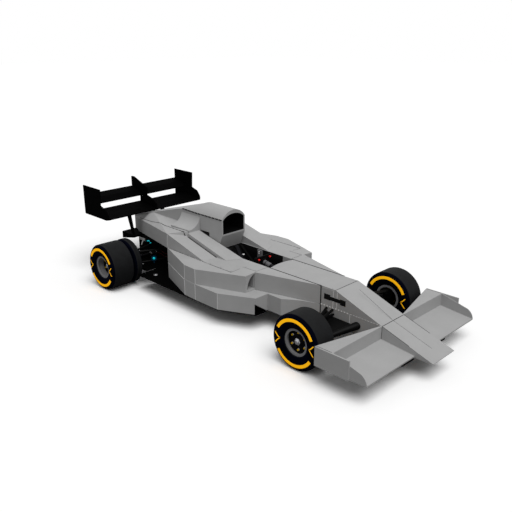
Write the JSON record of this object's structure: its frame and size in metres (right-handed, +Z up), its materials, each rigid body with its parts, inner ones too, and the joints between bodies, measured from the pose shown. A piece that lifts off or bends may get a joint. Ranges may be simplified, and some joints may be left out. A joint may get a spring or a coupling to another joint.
{
  "type": "open wheel racing car",
  "caption": "Single-seat open wheel racing car with flat-panelled bodywork, a wedge nose between wide front wings, a tall air intake, a two-plane rear wing and twin rear tyres.",
  "frame": {"origin": "on the ground, under the middle of the bounding box", "axes": "+X to the nose, +Y to the driver's left, +Z up"},
  "size_m": [4.54, 2.01, 1.066],
  "materials": {
    "body_grey": "matt grey paint over moulded composite",
    "floor_black": "bare black laminate",
    "wing_black": "bare black laminate",
    "cockpit_black": "matt black",
    "arm_black": "black powder coat",
    "engine_alloy": "dark cast alloy",
    "gearbox_alloy": "dark cast alloy",
    "radiator_core": "black finned core",
    "hub_steel": "machined",
    "rim_alloy": "satin silver-grey paint",
    "tyre": "matt rubber"
  },
  "bodies": {
    "chassis": {"floor": "floor_black", "tub": "body_grey", "scuttle_panel": "body_grey", "nose_cone": "body_grey", "nose_keel": "body_grey", "nose_tip": "body_grey", "lower_side_right": "body_grey", "lower_side_left": "body_grey", "sidepod_right": "body_grey", "sidepod_left": "body_grey", "radiators": "radiator_core", "cockpit_side_right": "body_grey", "cockpit_side_left": "body_grey", "headrest": "body_grey", "airbox": "body_grey", "engine_cover": "body_grey", "engine": "engine_alloy", "gearbox": "gearbox_alloy", "beam_wing": "floor_black", "seat": "cockpit_black", "front_wing_right": "body_grey", "front_wing_left": "body_grey", "front_wing_plates": "body_grey", "front_splitter": "floor_black", "rear_wing_planes": "wing_black", "rear_wing_endplates": "wing_black", "rear_wing_fin": "wing_black", "rear_wing_pylons": "wing_black", "front_arms_right": "arm_black", "front_arms_left": "arm_black", "rear_arms": "arm_black", "rear_uprights": "hub_steel", "driveshafts": "hub_steel"},
    "steering_rack": {"steering_rack": "hub_steel"},
    "steering_wheel": {"steering_wheel": "cockpit_black"},
    "front_knuckle_right": {"front_knuckle_right": "hub_steel"},
    "front_knuckle_left": {"front_knuckle_left": "hub_steel"},
    "front_wheel_right": {"front_rim_right": "rim_alloy", "front_tyre_right": "tyre"},
    "front_wheel_left": {"front_rim_left": "rim_alloy", "front_tyre_left": "tyre"},
    "rear_wheels_right": {"rear_rims_right": "rim_alloy", "rear_tyres_right": "tyre"},
    "rear_wheels_left": {"rear_rims_left": "rim_alloy", "rear_tyres_left": "tyre"}
  },
  "joints": [
    {"name": "steer_left", "type": "hinge", "parent": "chassis", "child": "front_knuckle_left", "pos_m": [1.296, 0.64, 0.265], "axis": [0, 0, 1], "range_deg": [-16, 16]},
    {"name": "steer_right", "type": "hinge", "parent": "chassis", "child": "front_knuckle_right", "pos_m": [1.296, -0.64, 0.265], "axis": [0, 0, 1], "range_deg": [-16, 16]},
    {"name": "rack_slide", "type": "slide", "parent": "chassis", "child": "steering_rack", "axis": [0, 1, 0], "range_m": [-0.024, 0.024]},
    {"name": "steering_wheel_turn", "type": "hinge", "parent": "chassis", "child": "steering_wheel", "pos_m": [0.106, 0, 0.505], "axis": [-0.9781, 0, 0.2079], "range_deg": [-120, 120]},
    {"name": "spin_front_left", "type": "hinge", "parent": "front_knuckle_left", "child": "front_wheel_left", "pos_m": [1.296, 0.702, 0.265], "axis": [0, 1, 0], "continuous": true},
    {"name": "spin_front_right", "type": "hinge", "parent": "front_knuckle_right", "child": "front_wheel_right", "pos_m": [1.296, -0.702, 0.265], "axis": [0, 1, 0], "continuous": true},
    {"name": "spin_rear_left", "type": "hinge", "parent": "chassis", "child": "rear_wheels_left", "pos_m": [-1.504, 0.8, 0.265], "axis": [0, 1, 0], "continuous": true},
    {"name": "spin_rear_right", "type": "hinge", "parent": "chassis", "child": "rear_wheels_right", "pos_m": [-1.504, -0.8, 0.265], "axis": [0, 1, 0], "continuous": true}
  ],
  "couplings": [
    {"joint": "steer_right", "follows": "steer_left", "ratio": 1},
    {"joint": "rack_slide", "follows": "steer_left", "m_per_rad": -0.084},
    {"joint": "steering_wheel_turn", "follows": "steer_left", "ratio": 7.4}
  ]
}
